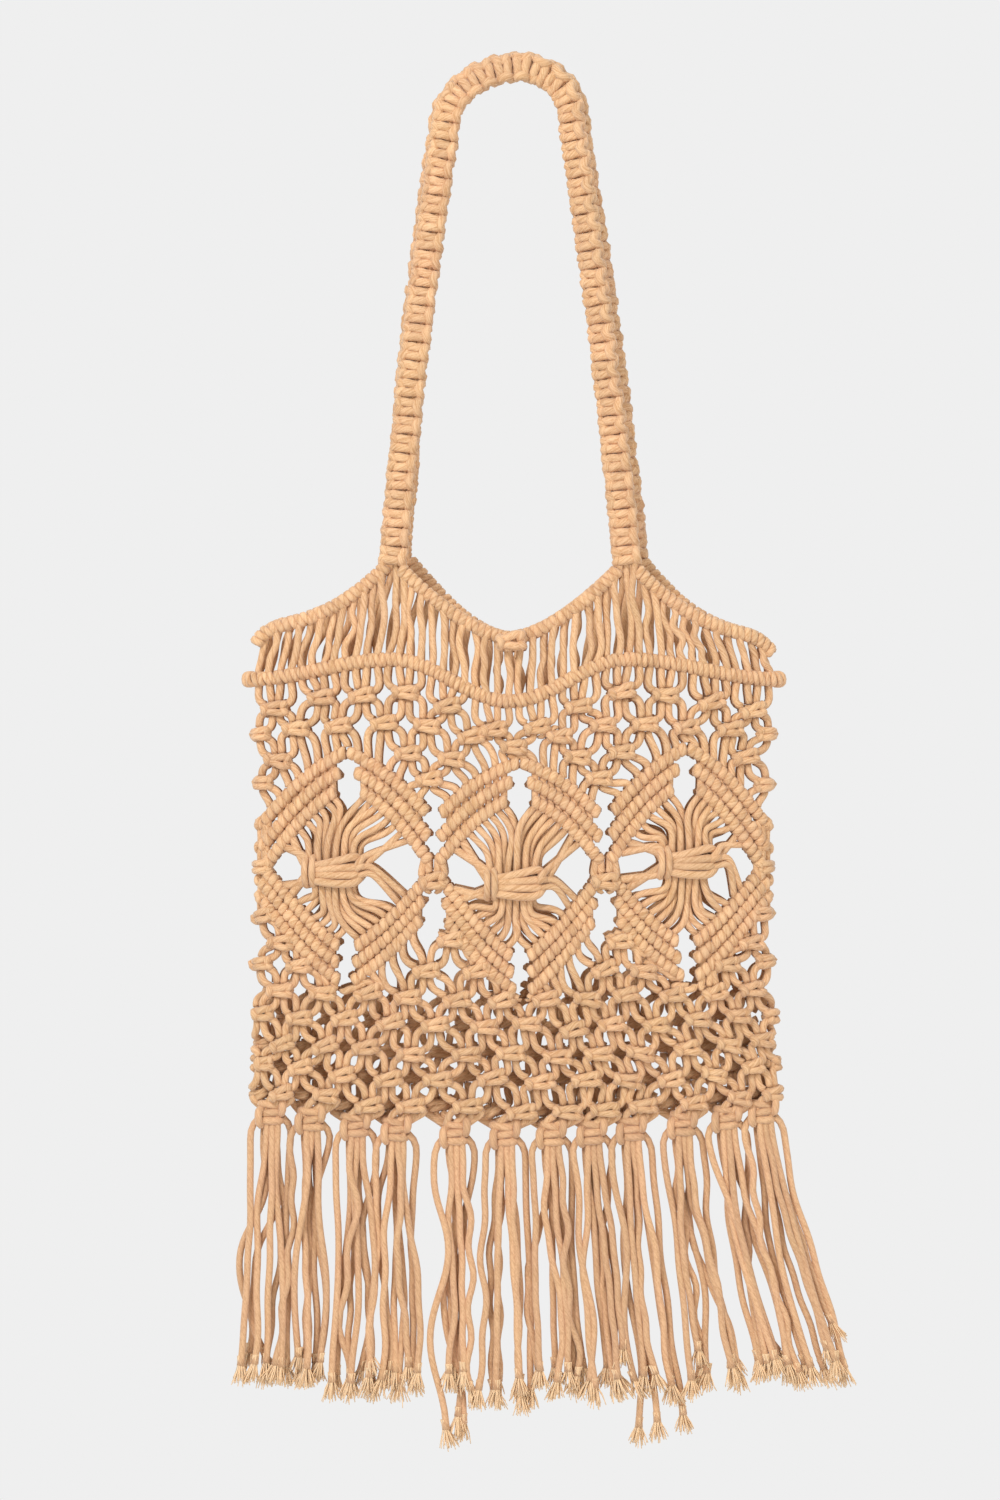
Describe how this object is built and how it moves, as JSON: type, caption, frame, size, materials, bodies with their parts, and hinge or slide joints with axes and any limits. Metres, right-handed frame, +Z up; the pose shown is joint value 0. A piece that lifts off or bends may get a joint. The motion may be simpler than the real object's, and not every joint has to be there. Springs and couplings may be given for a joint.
{
  "type": "woven handbag",
  "caption": "Hand-knotted cotton cord handbag with three openwork diamonds, two long straps and a long fringe, held hanging by its straps.",
  "frame": {"origin": "underside of the top of the handle's arch, where the bag hangs on a rail or an arm", "axes": "+Z up, the front panel towards -Y, +X to the right of someone who looks at the front"},
  "size_m": [0.3324, 0.052, 0.7799],
  "materials": {
    "cotton_cord": "matt twisted cotton cord",
    "fringe_cotton": "matt cotton strands with frayed tips"
  },
  "bodies": {
    "root": {"front_top_rope": "cotton_cord", "front_wave_rope": "cotton_cord", "front_yoke_cords": "cotton_cord", "front_upper_net": "cotton_cord", "front_lower_net": "cotton_cord", "front_handle": "cotton_cord", "front_diamond_left": "cotton_cord", "front_star_left": "cotton_cord", "front_diamond_middle": "cotton_cord", "front_star_middle": "cotton_cord", "front_diamond_right": "cotton_cord", "front_star_right": "cotton_cord", "back_top_rope": "cotton_cord", "back_wave_rope": "cotton_cord", "back_yoke_cords": "cotton_cord", "back_upper_net": "cotton_cord", "back_lower_net": "cotton_cord", "back_handle": "cotton_cord", "back_diamond_left": "cotton_cord", "back_star_left": "cotton_cord", "back_diamond_middle": "cotton_cord", "back_star_middle": "cotton_cord", "back_diamond_right": "cotton_cord", "back_star_right": "cotton_cord", "left_side_knots": "cotton_cord", "right_side_knots": "cotton_cord", "tassel_01": "fringe_cotton", "tassel_02": "fringe_cotton", "tassel_03": "fringe_cotton", "tassel_04": "fringe_cotton", "tassel_05": "fringe_cotton", "tassel_06": "fringe_cotton", "tassel_07": "fringe_cotton", "tassel_08": "fringe_cotton", "tassel_09": "fringe_cotton", "tassel_10": "fringe_cotton", "tassel_11": "fringe_cotton", "tassel_12": "fringe_cotton"}
  },
  "joints": []
}
